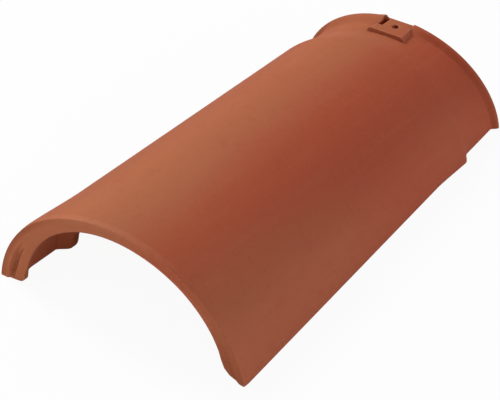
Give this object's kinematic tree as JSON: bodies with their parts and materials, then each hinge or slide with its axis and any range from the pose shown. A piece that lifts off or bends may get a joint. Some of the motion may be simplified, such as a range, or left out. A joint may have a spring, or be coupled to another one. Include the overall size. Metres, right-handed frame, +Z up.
{
  "type": "clay ridge tile",
  "caption": "Half-round tapered clay tile that covers a roof's ridge; a stepped spigot with a raised collar at the narrow end locks into the next tile's mouth.",
  "frame": {"origin": "middle of the box that holds the tile, at the level of the feet it lies on", "axes": "+Y along the tile from the wide mouth to the narrow tail, +X to the right seen from the mouth, +Z up through the crown"},
  "size_m": [0.2408, 0.4, 0.0951],
  "materials": {
    "terracotta": "matte unglazed fired clay"
  },
  "bodies": {
    "root": {"ridge_tile": "terracotta"}
  },
  "joints": []
}
